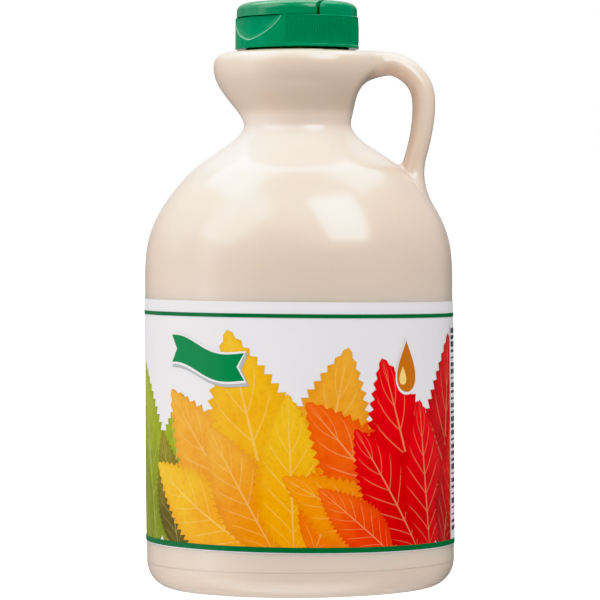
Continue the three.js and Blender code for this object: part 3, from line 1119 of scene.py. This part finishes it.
def soft_light(name, turn, rise, away, width, height, radiance, lean=0.0):
    """A rectangular softbox that faces the jug; its sizes are in metres, its lean in degrees."""
    data = bpy.data.lights.new(name, "AREA")
    data.shape = "RECTANGLE"
    data.size = width
    data.size_y = height
    data.energy = math.pi * width * height * radiance
    lamp = bpy.data.objects.new(name, data)
    out = outward(turn, rise)
    lamp.location = Vector((0.0, 0.0, LIT_HEIGHT)) + away * out
    lamp.visible_camera = False
    lamp.rotation_mode = "QUATERNION"
    lamp.rotation_quaternion = (-out).to_track_quat("-Z", "Y") @ Quaternion((0, 0, 1), math.radians(lean))
    bpy.context.scene.collection.objects.link(lamp)


def make_floor():
    """A pale floor that gives the jug no light, shade or reflection of its own."""
    material, _, _ = new_material(
        "pale_floor",
        Base_Color=(0.9, 0.9, 0.9, 1),
        Roughness=0.9,
        Emission_Color=(1, 1, 1, 1),
        Emission_Strength=WHITE_LEVEL,
    )
    mesh = bpy.data.meshes.new("floor")
    reach = 40.0
    corners = [(-reach, -reach, 0), (reach, -reach, 0), (reach, reach, 0), (-reach, reach, 0)]
    mesh.from_pydata(corners, [], [(0, 1, 2, 3)])
    mesh.materials.append(material)
    floor = bpy.data.objects.new("floor", mesh)
    floor.visible_glossy = False
    floor.visible_diffuse = False
    floor.visible_shadow = False
    bpy.context.scene.collection.objects.link(floor)


def make_world():
    """White to the eye; the light it gives comes from a few soft glows."""
    world = bpy.data.worlds.new("studio")
    bpy.context.scene.world = world
    world.use_nodes = True
    tree = world.node_tree
    way = add(tree, "ShaderNodeTexCoord").outputs["Generated"]
    level = AMBIENT
    for turn, rise, half, strength in GLOWS:
        ways = (way, outward(turn, rise))
        towards = add(tree, "ShaderNodeVectorMath", ways, operation="DOT_PRODUCT").outputs["Value"]
        edge = math.cos(math.radians(half))
        core = math.cos(math.radians(GLOW_CORE * half))
        level = calc(tree, "ADD", level, ramp(tree, towards, edge, core, 0.0, strength))
    glow = add(tree, "ShaderNodeCombineColor", (level, level, level)).outputs[0]
    seen = add(tree, "ShaderNodeLightPath").outputs["Is Camera Ray"]
    colour = blend_colour(tree, seen, glow, (WHITE_LEVEL, WHITE_LEVEL, WHITE_LEVEL, 1))
    tree.links.new(colour, tree.nodes["Background"].inputs["Color"])


def make_lights():
    """Softboxes above, at both sides and low at the left, and a little light back from the floor."""
    soft_light("top_softbox", 182.0, 71.0, 1.2, 1.75, 0.85, 2.15)
    soft_light("left_softbox", -62.0, 44.0, 1.2, 0.70, 1.00, 1.35, -15.0)
    soft_light("right_softbox", 43.5, 46.0, 1.2, 0.66, 0.96, 3.2, -7.0)
    soft_light("left_strip", -70.0, 4.0, 1.2, 0.32, 1.00, 0.45)
    soft_light("floor_bounce", -6.0, -68.5, 0.204, 0.30, 0.08, 0.47)


def film_tone(level):
    """Rolls highlights off softly, as film does."""
    if level <= KNEE:
        return level
    room = 1.0 - KNEE
    return KNEE + room * (1.0 - math.exp((KNEE - level) / room))


def make_grade():
    """Deepens the blacks and rolls the highlights off."""
    grade = bpy.context.scene.view_settings
    grade.view_transform = "Standard"
    grade.use_curve_mapping = True
    mapping = grade.curve_mapping
    mapping.black_level = BLACK_LEVEL
    mapping.white_level = (WHITE_LEVEL, WHITE_LEVEL, WHITE_LEVEL)
    steps = 16
    for n in range(1, steps):
        mapping.curves[3].points.new(n / steps, film_tone(WHITE_LEVEL * n / steps))
    mapping.update()


make_floor()
make_world()
make_lights()
make_grade()
make_camera()

jug_finish = jug_plastic()
cap_finish = cap_plastic("green_skirt_plastic", (0.0, 0.25, 0.101, 1), 0.1, 0.24)
# Painted shade: the lid's green is darker than the skirt's, though lid and skirt are one plastic.
shaded_lid_finish = cap_plastic("shaded_green_lid_plastic", (0.0, 0.226, 0.082, 1), 0.03, 0.6)
# Painted highlight: a lighter green on the scoop's rim bead for the bright line along its edge.
rim_highlight_finish = cap_plastic("painted_highlight_rim_plastic", (0.27, 0.60, 0.42, 1), 0.08, 0.6)
paper = label_paper()
green_ink = flat_ink("green_stripe_ink", (0.004, 0.125, 0.028, 1))
ribbon_ink = flat_ink("green_ribbon_ink", (0.005, 0.205, 0.052, 1))
shade_ink = flat_ink("grey_shade_ink", (0.42, 0.42, 0.43, 1))
dark_ink = flat_ink("dark_bar_ink", (0.012, 0.012, 0.014, 1))
amber_ink = flat_ink("amber_drop_ink", (0.55, 0.15, 0.006, 1))
glint_ink = flat_ink("pale_glint_ink", (0.92, 0.62, 0.2, 1))
leaf_finish = leaf_ink()

finish_piece(make_jug(jug_finish), "jug_plastic", "jug")
finish_piece(make_cap(cap_finish), "cap_plastic", "cap")
finish_piece(make_ribs(cap_finish), "cap_plastic")
finish_piece(make_scoop_rim(rim_highlight_finish), "cap_plastic")
finish_piece(make_lid(shaded_lid_finish), "lid_plastic", "flip_lid")
finish_piece(make_label(paper), "label_paper", "label")
finish_piece(make_leaves(leaf_finish), "label_paper")
finish_piece(make_stripes(green_ink), "label_paper")
finish_piece(make_bars(dark_ink), "label_paper")
for print_piece in make_print(paper, ribbon_ink, shade_ink, amber_ink, glint_ink):
    finish_piece(print_piece, "label_paper")
finish_piece(make_mould_lines(jug_finish), "jug_plastic")
